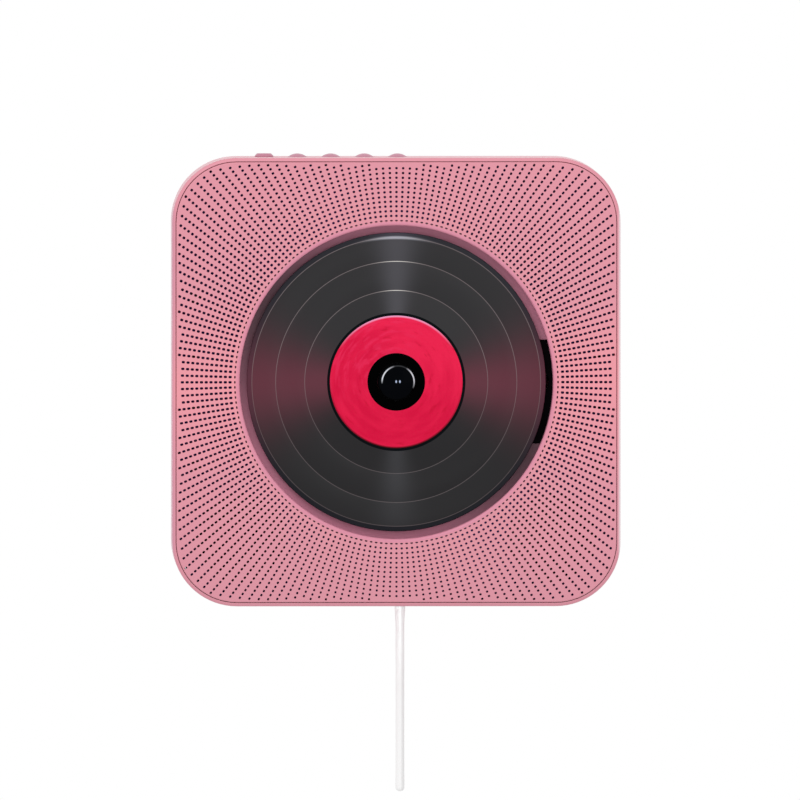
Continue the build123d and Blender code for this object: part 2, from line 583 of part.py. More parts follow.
def gear_pin():
    """The fixed pin that the double wheel turns on, with its retaining head."""
    return post(GEAR_X, GEAR_Z, 1.0, 12.2, PLATE_FRONT) + post(GEAR_X, GEAR_Z, 2.0, 12.2, 13.2)


def motor_pinion():
    outline = Pos(PINION_X, PINION_Z) * wheel_outline(PINION_TEETH, DRIVE_MODULE, PINION_BEARING + 180)
    return prism(outline, 13.2, 15.8) + post(PINION_X, PINION_Z, 0.75, 12.8, 22)


def sled_motor():
    can = post(PINION_X, PINION_Z, 7.0, 16.8, PLATE_BACK)
    can = fillet(back_edges(can), 0.6)
    can += post(PINION_X, PINION_Z, 2.4, 16.3, 17)
    can -= post(PINION_X, PINION_Z, 0.8, 10, 22.3)
    for sz in (-1, 1):
        z = PINION_Z + sz * 3
        can += block(PINION_X + 5.5, PINION_X + 9.2, z - 0.8, z + 0.8, 22.4, 22.9)
    return can


def laser_sled():
    """The pickup's body: bored for the main rod, slotted for the side rod, open for the lens."""
    sled = block(SLED_INNER, SLED_OUTER, -SLED_HALF, SLED_HALF, SLED_BACK, SLED_FRONT)
    sled -= block(SLED_INNER + 2, SLED_OUTER - 2, -11.5, 11.5, SLED_BACK - 1, SLED_BACK + 4)
    sled -= bar_x(0, 60, ROD_DEPTH, ROD_Z, MAIN_ROD_RADIUS + 0.05)
    sled -= block(0, 60, -SLED_HALF - 1, -ROD_Z + 1.1, ROD_DEPTH - 1.06, ROD_DEPTH + 1.06)
    sled -= block(LENS_X - 8, LENS_X + 8, -9.5, 9.5, 25.6, SLED_FRONT + 1)
    for sz in (-1, 1):
        sled -= block(0, 60, sz * 14.5 - 3, sz * 14.5 + 3, SLED_FRONT - 2.5, SLED_FRONT + 1)
    for x in (LENS_X - 7.0, LENS_X + 7.0):
        sled += block(x - 0.9, x + 0.9, -5, 5, 25.5, SLED_FRONT + 0.6)
    return sled


def lens_holder():
    """The carrier that floats on the sled, and the barrel round the lens."""
    carrier = block(LENS_X - 5.4, LENS_X + 5.4, -7, 7, 27.0, 29.8)
    carrier += post(LENS_X, 0, 3.5, 29.7, 32.4)
    carrier = fillet(front_edges(carrier), 0.4)
    return carrier - post(LENS_X, 0, 2.5, 25, 40)


def objective_lens():
    """A plano-convex lens, its crown towards the disc."""
    radius, edge, top = 2.5, 32.0, 33.0
    sphere = crown_radius(radius, top - edge)
    return post(LENS_X, 0, radius, 30.8, top) & Pos(LENS_X, sphere - top, 0) * Sphere(sphere)


def guide_rods():
    main = bar_x(4.5, 78, ROD_DEPTH, ROD_Z, MAIN_ROD_RADIUS)
    side = bar_x(4.5, 78, ROD_DEPTH, -ROD_Z, SIDE_ROD_RADIUS)
    return group([main, side])


def mechanism_chassis():
    """The transport's moulded plate, with a window for the sled and blocks that hold its rods."""
    outline = Pos(28, 0) * RectangleRounded(104, 64, 6)
    outline += Pos(PINION_X, PINION_Z) * Circle(9.5)
    outline += Pos(PINION_X, PINION_Z - 12) * Rectangle(19, 24)
    plate = prism(outline, PLATE_BACK, PLATE_FRONT)
    plate -= block(12.9, 73, -19.6, 19.6, PLATE_BACK - 1, PLATE_FRONT + 1)
    for sz in (-1, 1):
        plate += block(74.6, 79, sz * ROD_Z - 3, sz * ROD_Z + 3, ROD_DEPTH - 3, PLATE_BACK + 0.1)
        plate += block(5, 9, sz * ROD_Z - 2, sz * ROD_Z + 3, ROD_DEPTH - 3, PLATE_BACK + 0.1)
    plate -= bar_x(0, 79.5, ROD_DEPTH, ROD_Z, MAIN_ROD_RADIUS + 0.02)
    plate -= bar_x(0, 79.5, ROD_DEPTH, -ROD_Z, SIDE_ROD_RADIUS + 0.02)
    plate -= post(0, 0, 4.2, PLATE_BACK - 1, PLATE_FRONT + 1)
    for x, z in DAMPERS:
        plate -= post(x, z, 2.9, PLATE_BACK - 1, PLATE_FRONT + 1)
    return plate - post(GEAR_X, GEAR_Z, 1.02, PLATE_BACK - 1, PLATE_FRONT + 1)


def damper_grommets():
    """Soft bushes between the transport's plate and the well's posts, waisted at the plate."""
    back, front = PLATE_BACK - 1.2, GROMMET_FRONT
    waist = [(1.2, back), (4.2, back), (4.2, PLATE_BACK), (2.85, PLATE_BACK), (2.85, PLATE_FRONT),
             (4.2, PLATE_FRONT), (4.2, front), (1.2, front)]
    return group([turned(waist, x, z) for x, z in DAMPERS])


def mechanism_ribbon():
    """The flat cable from the main board's socket up to the transport's lower edge."""
    plate_depth = (PLATE_BACK + PLATE_FRONT) / 2
    points = [(RIBBON_X, -RIBBON_SOCKET_DEPTH, RIBBON_SOCKET_TOP), (RIBBON_X, -RIBBON_SOCKET_DEPTH, -46),
              (RIBBON_X, -plate_depth, -38.5), (RIBBON_X, -plate_depth, -32)]
    path = FilletPolyline(*points, radius=4)
    section = Plane(origin=path @ 0, x_dir=(1, 0, 0), z_dir=path % 0) * Rectangle(2 * RIBBON_HALF, 0.3)
    return sweep(section, path)


# --- Spindle, disc and label --------------------------------------------------------------------
def spindle_motor_can():
    """The spindle motor's drawn steel cup, closed towards the disc."""
    inside = SPINDLE_CAN_RADIUS - 0.6
    return turned([(SPINDLE_CAN_RADIUS, SPINDLE_CAN_BACK), (SPINDLE_CAN_RADIUS, PLATE_BACK),
                   (4.0, PLATE_BACK), (4.0, PLATE_BACK + 1.4), (2.6, PLATE_BACK + 1.4),
                   (2.6, PLATE_BACK - 0.8), (inside, PLATE_BACK - 0.8), (inside, SPINDLE_CAN_BACK)])


def motor_magnets():
    """Two curved magnets inside the cup, either side of the rotor."""
    arc = Circle(SPINDLE_CAN_RADIUS - 0.65) - Circle(9.95)
    halves = [arc & Pos(side * 8, 0) * Rectangle(11, 20) for side in (-1, 1)]
    return group([prism(half, 15.0, 22.0) for half in halves])


def spindle_bearing():
    return tube(0, 0, 2.6, 1.04, PLATE_BACK - 2.5, PLATE_BACK + 1.6)


def spindle_motor_cap():
    """The motor's plastic end cap, with two brush terminals."""
    cap = post(0, 0, 11.5, SPINDLE_CAN_BACK - 0.8, SPINDLE_CAN_BACK + 1.2)
    for side in (-1, 1):
        x = side * 7
        cap += block(x - 0.9, x + 0.9, -0.3, 0.3, SPINDLE_CAN_BACK - 2.4, SPINDLE_CAN_BACK)
    return cap


def spindle_rotor():
    """The armature: three poles round the shaft."""
    core = tube(0, 0, 3.2, 1.0, 15.0, 21.5)
    shoe = (Circle(9.6) - Circle(7.6)) & Pos(8.6, 0) * Rectangle(4, 13)
    pole = block(2.5, 8.0, -1.6, 1.6, 15.4, 21.0) + prism(shoe, 15.4, 21.0)
    for n in range(3):
        core += Rot(0, 120 * n, 0) * pole
    return core


def spindle_shaft():
    return post(0, 0, 1.0, 14.2, 36.0)


CHUCK_DEPTH, CHUCK_BALL_RADIUS = 36.9, 0.9
CHUCK_RING, CHUCK_ANGLES = 6.52, (90, 210, 330)
HUB_RADIUS, HUB_DOME_RADIUS, HUB_SHOULDER, HUB_TOP = 7.42, 6.8, 37.8, 39.0


def turntable():
    """The hub that carries the disc: a platform, a centring boss and a crowned top."""
    hub = turned([(1.0, 28.0), (4.4, 28.0), (4.4, 31.6), (14.8, 33.0), (14.8, 34.3), (HUB_RADIUS, 34.3),
                  (HUB_RADIUS, 37.3), (HUB_DOME_RADIUS, HUB_SHOULDER), (0, HUB_SHOULDER), (0, 36.0),
                  (1.0, 36.0)])
    sphere = crown_radius(HUB_DOME_RADIUS, HUB_TOP - HUB_SHOULDER)
    crown = post(0, 0, HUB_DOME_RADIUS, HUB_SHOULDER - 0.4, HUB_TOP)
    hub += crown & Pos(0, sphere - HUB_TOP, 0) * Sphere(sphere)
    for angle in CHUCK_ANGLES:
        x, z = polar(CHUCK_RING + 1, angle)
        pocket = Rot(0, 90 - angle, 0) * Cylinder(CHUCK_BALL_RADIUS + 0.05, 4)
        hub -= Pos(x, -CHUCK_DEPTH, z) * pocket
    return hub


def chuck_balls():
    """The three sprung balls that grip the disc's hole."""
    centres = [polar(CHUCK_RING, angle) for angle in CHUCK_ANGLES]
    return group([Pos(x, -CHUCK_DEPTH, z) * Sphere(CHUCK_BALL_RADIUS) for x, z in centres])


def turntable_mat():
    return tube(0, 0, 14.6, 9.0, 34.3, DISC_BACK)


def disc():
    """A standard disc, black, with softened edges."""
    plate = tube(0, 0, DISC_RADIUS, DISC_HOLE, DISC_BACK, DISC_FRONT)
    rims = plate.edges().filter_by(GeomType.CIRCLE).sort_by(SortBy.RADIUS)[-2:]
    return fillet(rims, 0.35)


def disc_label():
    return tube(0, 0, LABEL_OUTER, LABEL_INNER, DISC_FRONT, DISC_FRONT + LABEL_THICK)


# --- Pull switch and cord -----------------------------------------------------------------------
GLAND_TOP = -85.9


def cord_gland():
    """The bush in the casing's underside that guides the rod."""
    bore = CORD_RADIUS + 0.08
    return turned_upright(
        [(bore, -HALF - 0.2), (2.9, -HALF - 0.2), (GLAND_RADIUS, -HALF + 0.3),
         (GLAND_RADIUS, -INNER_HALF), (4.6, -INNER_HALF), (4.6, GLAND_TOP), (bore, GLAND_TOP)],
        CORD_X, CORD_DEPTH)


def pull_rod():
    """The stiff rod from the switch out through the gland, with a collar for its spring."""
    rod = bar_z(CORD_X, CORD_DEPTH, CORD_RADIUS, SLEEVE_TOP, ROD_TOP)
    return rod + bar_z(CORD_X, CORD_DEPTH, 3.5, COLLAR_Z, COLLAR_Z + 1.5)


def pull_spring():
    """The return spring, wound round the rod between gland and collar."""
    wire, radius, turns = 0.25, 2.85, 6
    low, high = GLAND_TOP + wire + 0.05, COLLAR_Z - wire - 0.05
    path = Helix(pitch=(high - low) / turns, height=high - low, radius=radius)
    section = Plane(origin=path @ 0, z_dir=path % 0) * Circle(wire)
    return Pos(CORD_X, -CORD_DEPTH, low) * sweep(section, path)


def pull_switch_body():
    """The switch, fixed on the main board; the rod's end runs in it."""
    body = block(CORD_X - 7, CORD_X + 7, -70.5, -57, MAIN_BOARD_FRONT, CORD_DEPTH + 6)
    return body - bar_z(CORD_X, CORD_DEPTH, CORD_RADIUS + 0.3, -75, ROD_TOP + 1.5)


def cord_sleeve():
    """The short taper that joins the cord to its rod."""
    return turned_upright(
        [(0, SLEEVE_TOP), (SLEEVE_RADIUS - 0.2, SLEEVE_TOP), (SLEEVE_RADIUS, SLEEVE_TOP - 0.4),
         (CORD_RADIUS + 0.03, SLEEVE_END), (0, SLEEVE_END)], CORD_X, CORD_DEPTH)


def pull_cord():
    """The cord hangs straight, so it is one straight run."""
    low = CORD_END + CORD_TIP_LENGTH
    print("cord: one straight run of", round(SLEEVE_END - low, 1), "mm, no bend")
    return bar_z(CORD_X, CORD_DEPTH, CORD_RADIUS, low, SLEEVE_END)


def cord_tip():
    tip = bar_z(CORD_X, CORD_DEPTH, CORD_RADIUS + 0.05, CORD_END, CORD_END + CORD_TIP_LENGTH)
    return fillet(tip.faces().sort_by(Axis.Z)[0].edges(), 1.6)


# --- Every node, and its file -------------------------------------------------------------------
SINGLE_NODES = (
    housing_shell, front_grille, speaker_baffle, disc_well, mechanism_cover, rear_cover, rubber_bumpers,
    wall_bracket, case_screws, inner_screws, button_board, tact_switches, main_board, board_chips,
    capacitors, power_jack, speaker_wires, sled_rack, drive_gear, gear_pin, motor_pinion, sled_motor,
    laser_sled, lens_holder, objective_lens, guide_rods, mechanism_chassis, damper_grommets,
    mechanism_ribbon, spindle_motor_can, motor_magnets, spindle_bearing, spindle_motor_cap,
    spindle_rotor, spindle_shaft, turntable, chuck_balls, turntable_mat, disc, disc_label, cord_gland,
    pull_rod, pull_spring, pull_switch_body, cord_sleeve, pull_cord, cord_tip,
)

nodes = {make.__name__: make() for make in SINGLE_NODES}
for x, name in zip(BUTTON_X, BUTTON_NAMES):
    nodes[f"{name}_button"] = button(x, crowned=name != BUTTON_NAMES[0])
for (x, z), side in zip(SPEAKERS, ("left", "right")):
    nodes[f"{side}_speaker_basket"] = speaker_basket(x, z)
    nodes[f"{side}_speaker_cone"] = speaker_cone(x, z)
    nodes[f"{side}_speaker_magnet"] = speaker_magnet(x, z)

os.makedirs("parts", exist_ok=True)
for name, solid in nodes.items():
    export_step(solid, f"parts/{name}.step")
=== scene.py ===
import json
from math import cos, hypot, pi, radians, sin, sqrt

import bmesh
import bpy
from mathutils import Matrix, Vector
from mathutils.geometry import delaunay_2d_cdt

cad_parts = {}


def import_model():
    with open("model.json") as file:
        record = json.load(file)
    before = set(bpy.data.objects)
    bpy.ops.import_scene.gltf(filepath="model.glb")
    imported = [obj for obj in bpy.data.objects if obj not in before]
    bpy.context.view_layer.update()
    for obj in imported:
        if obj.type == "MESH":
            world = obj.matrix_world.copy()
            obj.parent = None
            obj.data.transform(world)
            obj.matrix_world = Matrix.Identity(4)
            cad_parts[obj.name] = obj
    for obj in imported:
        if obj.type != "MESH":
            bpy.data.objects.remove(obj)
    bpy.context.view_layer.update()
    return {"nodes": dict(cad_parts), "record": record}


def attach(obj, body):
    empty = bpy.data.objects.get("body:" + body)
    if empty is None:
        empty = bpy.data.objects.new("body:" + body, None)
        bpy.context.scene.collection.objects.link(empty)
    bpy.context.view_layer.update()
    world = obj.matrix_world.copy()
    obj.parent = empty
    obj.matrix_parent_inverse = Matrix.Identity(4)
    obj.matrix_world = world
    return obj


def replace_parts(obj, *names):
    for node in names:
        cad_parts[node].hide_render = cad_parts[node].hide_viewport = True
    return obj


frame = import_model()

# The looks of a wall-mounted disc player. Lengths are in millimetres where nothing else is said, and a
# depth is a distance off the wall, so depth d lies at y = -d. MM turns millimetres into metres.
MM = 0.001
nodes = frame["nodes"]

# --- The photograph's view ----------------------------------------------------------------------
PHOTO_SIZE = 800  # pixels
MM_PER_PIXEL = 0.4013  # at the disc's front
AIM_X, AIM_Z = 1.5, -7.26  # where the camera's axis meets the plane of the disc's front
CAMERA_DISTANCE = 14000.0  # far enough that the casing's sides show with hardly any perspective
CAMERA_LEFT, CAMERA_UP = 1.2, 1.7  # degrees off the disc's axis
SENSOR_WIDTH = 36
NEAREST_SEEN, FARTHEST_SEEN = 1, 60  # metres

# --- Stage and light: lamps' places and sizes in metres, powers in watts ------------------------
FLOOR_RADIUS, FLOOR_Z = 1500, -300
WORLD_STRENGTH = 0.78
LAMP_SIZE = 1.6
KEY_PLACE, KEY_POWER = (-1.1, -2.4, 2.2), 22
FILL_PLACE, FILL_POWER = (1.6, -2.6, 0.6), 5
CORD_LIGHT_PLACE, CORD_LIGHT_POWER = (0, -2.0, -0.3), 125
CORD_LIGHT_SIZE, CORD_LIGHT_ANGLE = 0.02, 1.0  # the angle in degrees
CORD_LIGHT_COLOUR = (0.78, 1.0, 0.98)

# --- The casing ---------------------------------------------------------------------------------
CASING_HALF, CASING_CORNER = 90.0, 26.0
GRILLE_INSET = 1.7  # from the casing's side to the front plate's
GRILLE_HALF, GRILLE_CORNER = CASING_HALF - GRILLE_INSET, CASING_CORNER - GRILLE_INSET
GRILLE_BACK, GRILLE_FRONT = 38.0, 40.0
GRILLE_EDGE, GRILLE_EDGE_STEPS = 0.4, 5  # the rounding of its outer edge
WELL_RADIUS = 62.9
LIP, LIP_STEPS = 1.0, 8  # the rounding of the edge round the well
LIP_POINTS = 240
CORNER_STEPS, SIDE_STEPS = 16, 12  # of its outline, round a corner and along a side

HOLE_RAYS = 200
HOLE_FIRST, HOLE_PITCH = 64.85, 1.912  # radius of the first circle of holes, and their spacing
HOLE_AREA, HOLE_AREA_SIDE, HOLE_AREA_UP = 0.272, 0.063, 0.026  # a hole's half sizes multiplied
HOLE_STRETCH, HOLE_STRETCH_MORE, HOLE_STRETCH_ANGLE = 1.13, 0.26, 25  # its length outwards over its width
FIRST_HOLE = (0.30, 0.52)  # half sizes of the innermost circle's holes, which are slits
HOLES_MARGIN = 1.0  # the holes' centres keep this far inside the front plate's edge
# A hole's outline, outwards and across, for half sizes of one.
HOLE_SHAPE = [(1, 0.45), (0.8, 0.8), (0.45, 1), (-0.45, 1), (-0.8, 0.8), (-1, 0.45),
              (-1, -0.45), (-0.8, -0.8), (-0.45, -1), (0.45, -1), (0.8, -0.8), (1, -0.45)]
SAME_POINT = 1e-5  # points nearer than this are one

# --- The disc -----------------------------------------------------------------------------------
DISC_BACK, DISC_FRONT = 34.8, 36.0
DISC_RADIUS, DISC_HOLE, DISC_EDGE = 60.0, 7.5, 0.3
DISC_SEGMENTS = 256
HOLE_BEVEL = 0.15
RIM_STEP, RIM_DROP = 57.95, 0.16  # where the flat outer band begins, and how much lower it lies
RING_LINES = (48.4, 36.75)  # the lines between the tracks
GROOVE_WIDTH, GROOVE_DEPTH = 0.3, 0.07
LABEL_OUTER, LABEL_INNER, LABEL_THICK, LABEL_EDGE = 26.65, 11.55, 0.15, 0.12
SURROUND_RADIUS = 27.75  # the label lies in a black ring
INLAY, INLAY_GAP = 0.02, 0.02  # the black inlays' height above the disc, and their gap to the label
DOME_RADIUS = 6.9
CRESCENTS_X, CRESCENTS_RADIUS = 0.7, 6.45  # the circle on which the light's two crescents lie
GLINTS, GLINTS_Z = (-0.09, 1.4), 0.2  # where the dome's two glints lie
GLINT_SQUASH = 0.6  # a glint's width over its height
GLINT_REACH = (0.16, 0.03)  # squares of the distance at which a glint is none and full

# --- The cord: its route's ends are those of the solid cord --------------------------------------
CORD_X, CORD_DEPTH, CORD_RADIUS = 1.8, 20.0, 1.75
CORD_TOP, CORD_LOW = -97.0, -160.0
CORD_STRAIGHT = 12 * CORD_RADIUS  # its first run out of the sleeve
CORD_LIT_Z = -88.0  # the cord's own light aims at this height


# --- Materials ----------------------------------------------------------------------------------
def srgb(red, green, blue):
    """A colour given as it looks on a screen, 0 to 255, as linear light."""
    def linear(value):
        value /= 255
        return value / 12.92 if value <= 0.04045 else ((value + 0.055) / 1.055) ** 2.4
    return (linear(red), linear(green), linear(blue), 1)


BLACK = srgb(0, 0, 0)
# The third of these pinks is painted shade along the casing's bottom.
PINK, WARM_PINK, SHADED_LOW_PINK = srgb(229, 149, 164), srgb(243, 154, 165), srgb(220, 145, 160)
# The first two of these are painted shade on the casing's left side and a painted highlight along its
# right front edge.
SHADED_SIDE_PINK, PAINTED_EDGE_HIGHLIGHT, LIP_PINK = srgb(196, 138, 164), srgb(255, 248, 250), srgb(222, 140, 166)
# The first is the casing's pink darkened as painted shade for the well; the second is its painted shadow.
SHADED_WELL_PINK, WELL_SHADOW = srgb(206, 132, 157), srgb(20, 8, 18)

# Where the casing's tints lie, with its painted shade along the bottom and on the left, and its painted
# highlight on the right front edge. Of a pair, the tint is none at the first value and full at the second.
LOW_SHADE_HEIGHTS = (-30.0, -CASING_HALF)
WARM_HEIGHTS, WARM_DEPTHS = (38.0, 0.0), (31.0, 37.0)
LEFT_SHADE_PLACES = (1.6 - CASING_HALF, -CASING_HALF)
RIGHT_HIGHLIGHT_PLACES, RIGHT_HIGHLIGHT_DEPTHS = (CASING_HALF - 1.1, CASING_HALF), (37.8, 38.8)
LIP_RADII = (WELL_RADIUS + 1.8, WELL_RADIUS + 1.2)
SHADOW_ANGLE = 150  # degrees from +X to one dark side of the well; the other lies opposite
SHADOW_SHARPNESS, SHADOW_STRENGTH = 3, 0.75

STREAK_SHARPNESS, SIDE_SHARPNESS = 45, 9  # how narrow the disc's upright and level streaks of light are
LINE_WIDTH, RIM_GLOW = 0.2, 0.8  # how far the light on a ring line and on the rim's step reaches


class Shader:
    """A material's node tree, with the few node patterns that the materials here share."""

    def __init__(self, name, colour, roughness, **settings):
        """A keyword names a socket of the shader: specular_ior_level sets "Specular IOR Level"."""
        self.material = bpy.data.materials.new(name)
        self.material.use_nodes = True
        self.tree = self.material.node_tree
        self.surface = self.tree.nodes["Principled BSDF"]
        self.surface.inputs["Base Color"].default_value = colour
        self.surface.inputs["Roughness"].default_value = roughness
        for keyword, value in settings.items():
            socket = keyword.replace("_", " ").title().replace("Ior", "IOR")
            self.surface.inputs[socket].default_value = value
        self.place = self.node("ShaderNodeTexCoord").outputs["Object"]

    def node(self, kind, **settings):
        made = self.tree.nodes.new(kind)
        for key, value in settings.items():
            setattr(made, key, value)
        return made

    def link(self, output, target):
        self.tree.links.new(output, target)

    def axes(self):
        """The x, y and z of the place, in metres."""
        split = self.node("ShaderNodeSeparateXYZ")
        self.link(self.place, split.inputs[0])
        return split.outputs["X"], split.outputs["Y"], split.outputs["Z"]

    def noise(self, size, detail=3.0, where=None):
        """Noise whose features are about this many millimetres across."""
        made = self.node("ShaderNodeTexNoise")
        made.inputs["Scale"].default_value = 1 / (size * MM)
        made.inputs["Detail"].default_value = detail
        self.link(where or self.place, made.inputs["Vector"])
        return made.outputs["Fac"]

    def spread(self, value, low, high, start=0.3, end=0.7):
        """The value, from start to end, stretched from low to high."""
        made = self.node("ShaderNodeMapRange")
        for socket, number in (("From Min", start), ("From Max", end), ("To Min", low), ("To Max", high)):
            made.inputs[socket].default_value = number
        self.link(value, made.inputs["Value"])
        return made.outputs["Result"]

    def math(self, operation, first, second=None, clamp=False):
        """An operation on numbers or outputs."""
        made = self.node("ShaderNodeMath", operation=operation, use_clamp=clamp)
        for socket, value in zip(made.inputs, (first, second)):
            if isinstance(value, (int, float)):
                socket.default_value = value
            elif value is not None:
                self.link(value, socket)
        return made.outputs[0]

    def plus(self, first, second, clamp=False):
        return self.math("ADD", first, second, clamp)

    def minus(self, first, second):
        return self.math("SUBTRACT", first, second)

    def times(self, first, second):
        return self.math("MULTIPLY", first, second)

    def squares(self, first, second):
        """The sum of the two squares."""
        return self.plus(self.math("POWER", first, 2), self.math("POWER", second, 2))

    def mix(self, share, first, second):
        """The first colour, with this share of the second."""
        made = self.node("ShaderNodeMix", data_type="RGBA")
        self.link(share, made.inputs[0])
        for socket, value in zip(made.inputs[6:8], (first, second)):
            if isinstance(value, tuple):
                socket.default_value = value
            else:
                self.link(value, socket)
        return made.outputs[2]

    def colour(self, output):
        self.link(output, self.surface.inputs["Base Color"])

    def roughness(self, output):
        self.link(output, self.surface.inputs["Roughness"])

    def bump(self, height, depth):
        """Relief whose full height is this many millimetres."""
        made = self.node("ShaderNodeBump")
        made.inputs["Strength"].default_value = 1.0
        made.inputs["Distance"].default_value = depth * MM
        self.link(height, made.inputs["Height"])
        self.link(made.outputs["Normal"], self.surface.inputs["Normal"])


def moulded(name, colour, roughness=0.4, grain=0.35, relief=0.004, shade=0.05, **settings):
    """Moulded plastic: fine spark-eroded grain, and faint cloudiness in colour and gloss."""
    shader = Shader(name, colour, roughness, **settings)
    darker = tuple(c * (1 - shade) for c in colour[:3]) + (1,)
    shader.colour(shader.mix(shader.spread(shader.noise(30), 0, 1), colour, darker))
    shader.roughness(shader.spread(shader.noise(4), roughness - 0.04, roughness + 0.04))
    shader.bump(shader.noise(grain, 2), relief)
    return shader


def metal(name, colour, roughness=0.3, grain=(0.4, 0.4, 12)):
    """Drawn or rolled metal, its grain stretched along one axis."""
    shader = Shader(name, colour, roughness, metallic=1.0)
    scale = shader.node("ShaderNodeMapping")
    scale.inputs["Scale"].default_value = [1 / g for g in grain]
    shader.link(shader.place, scale.inputs["Vector"])
    streaks = shader.noise(1.0, 4, scale.outputs["Vector"])
    shader.roughness(shader.spread(streaks, roughness - 0.08, roughness + 0.1))
    shader.bump(streaks, 0.002)
    return shader


def by_angle(shader, right=0.0):
    """The radius in millimetres, and the cosine and sine of the angle from +X, in the disc's plane,
    about a point this far right of the spindle's axis."""
    x, _, z = shader.axes()
    x = shader.minus(x, right * MM)
    radius = shader.math("SQRT", shader.squares(x, z))
    return shader.times(radius, 1 / MM), shader.math("DIVIDE", x, radius), shader.math("DIVIDE", z, radius)


def towards(shader, across, up, direction):
    """The cosine of the angle from this direction, given as its own cosine and sine."""
    return shader.plus(shader.times(across, direction[0]), shader.times(up, direction[1]))


def lobe(shader, cosine, sharpness):
    """One towards the direction where the cosine is 1 or -1, falling to none away from it."""
    return shader.math("POWER", shader.times(cosine, cosine), sharpness)


def near(shader, radius, line, width):
    """One close to a circle of this radius, none beyond the width from it."""
    away = shader.math("ABSOLUTE", shader.minus(radius, line))
    return shader.spread(away, 1, 0, width * 0.3, width)


def fade(shader, place, full, reach):
    """None where the place is at the reach's first value, in millimetres, and this full at its second."""
    return shader.spread(place, 0, full, reach[0] * MM, reach[1] * MM)


def casing_shades(shader):
    """The casing's pink: warmer across the middle of its front, and darker along the bottom, which is
    painted shade.
    """
    _, y, z = shader.axes()
    depth = shader.times(y, -1)
    cloud = shader.spread(shader.noise(30, 2), -0.15, 0.15)
    # painted shade, darker towards the casing's bottom
    low = shader.plus(fade(shader, z, 1, LOW_SHADE_HEIGHTS), cloud, clamp=True)
    warm = shader.plus(fade(shader, shader.math("ABSOLUTE", z), 1, WARM_HEIGHTS), cloud, clamp=True)
    warm = shader.times(warm, fade(shader, depth, 1, WARM_DEPTHS))
    return shader.mix(warm, shader.mix(low, PINK, SHADED_LOW_PINK), WARM_PINK)


def casing_pink():
    """The frame's and rear cover's pink, with painted shade on its left side and a painted highlight that
    fades its right front edge to white.
    """
    shader = moulded("casing_pink", PINK, 0.38, grain=0.5, relief=0.003, sheen_weight=0.35,
                     sheen_roughness=0.3)
    x, y, _ = shader.axes()
    depth = shader.times(y, -1)
    # painted shade along the left side
    pink = shader.mix(fade(shader, x, 0.5, LEFT_SHADE_PLACES), casing_shades(shader), SHADED_SIDE_PINK)
    # painted highlight along the right front edge
    edge_highlight = shader.times(fade(shader, x, 0.9, RIGHT_HIGHLIGHT_PLACES), fade(shader, depth, 1, RIGHT_HIGHLIGHT_DEPTHS))
    shader.colour(shader.mix(edge_highlight, pink, PAINTED_EDGE_HIGHLIGHT))
    return shader.material


def grille_pink():
    """The front plate's pink, bluer on the lip of its round opening."""
    shader = moulded("grille_pink", PINK, 0.42, grain=0.5, relief=0.003)
    lip = shader.spread(by_angle(shader)[0], 0, 0.7, *LIP_RADII)
    shader.colour(shader.mix(lip, casing_shades(shader), LIP_PINK))
    return shader.material


def well_pink():
    """The well's pink, the casing's pink darkened as painted shade, with painted shadow towards its upper
    left and lower right.
    """
    shader = moulded("well_pink", SHADED_WELL_PINK, 0.45)
    _, across, up = by_angle(shader)
    turn = radians(SHADOW_ANGLE)
    along = towards(shader, across, up, (cos(turn), sin(turn)))
    shadow = shader.times(lobe(shader, along, SHADOW_SHARPNESS), SHADOW_STRENGTH)
    shader.colour(shader.mix(shadow, SHADED_WELL_PINK, WELL_SHADOW))
    return shader.material


def track_shades(shader, radius, up, painted_streak, painted_side):
    """The grooved black, with painted light: lighter above, a painted reflection of pink at both sides,
    and painted streaks of light up and down. The lower streak fades towards the rim."""
    # painted light: lighter above
    plain = shader.mix(shader.spread(up, 0, 1, -0.3, 0.4), srgb(31, 30, 32), srgb(42, 41, 43))
    # painted reflection of the pink casing at both sides
    warm = shader.mix(painted_side, plain, srgb(96, 45, 58))
    # painted streaks of light up and down
    shine = shader.mix(shader.spread(up, 0, 1, -1, 1), srgb(54, 54, 57), srgb(73, 72, 77))
    faded = shader.times(shader.spread(radius, 0, 0.55, 38, 58), shader.spread(up, 1, 0, -0.5, 0))
    return shader.mix(shader.times(painted_streak, shader.minus(1, faded)), warm, shine)


def lined(shader, tracks, radius, up, top):
    """The tracks with the pale lines between them and at the rim's step, painted highlights brightest at
    the top.
    """
    lines = 0
    for line in RING_LINES + (RIM_STEP,):
        lines = shader.plus(lines, near(shader, radius, line, LINE_WIDTH), clamp=True)
    # the lines' painted highlight, brighter towards the top
    share = shader.plus(shader.spread(up, 0.28, 0.5, -0.3, 0.3), shader.times(top, 0.5))
    pale = shader.mix(top, srgb(150, 136, 138), srgb(225, 220, 215))
    return shader.mix(shader.times(lines, share), tracks, pale)


def band_shades(shader, up, painted_streak, painted_side):
    """The smooth outer band, with painted light: lighter above, a painted reflection of pink at both
    sides, and a painted streak of light at its top.
    """
    # painted light: lighter above
    band = shader.mix(shader.spread(up, 0, 1, -0.7, 0.6), srgb(11, 12, 22), srgb(32, 32, 40))
    # painted reflection of the pink casing at both sides
    band = shader.mix(painted_side, band, srgb(90, 42, 58))
    # painted streak of light at the top
    return shader.mix(shader.times(painted_streak, shader.spread(up, 0, 1, 0, 1)), band, srgb(64, 62, 73))


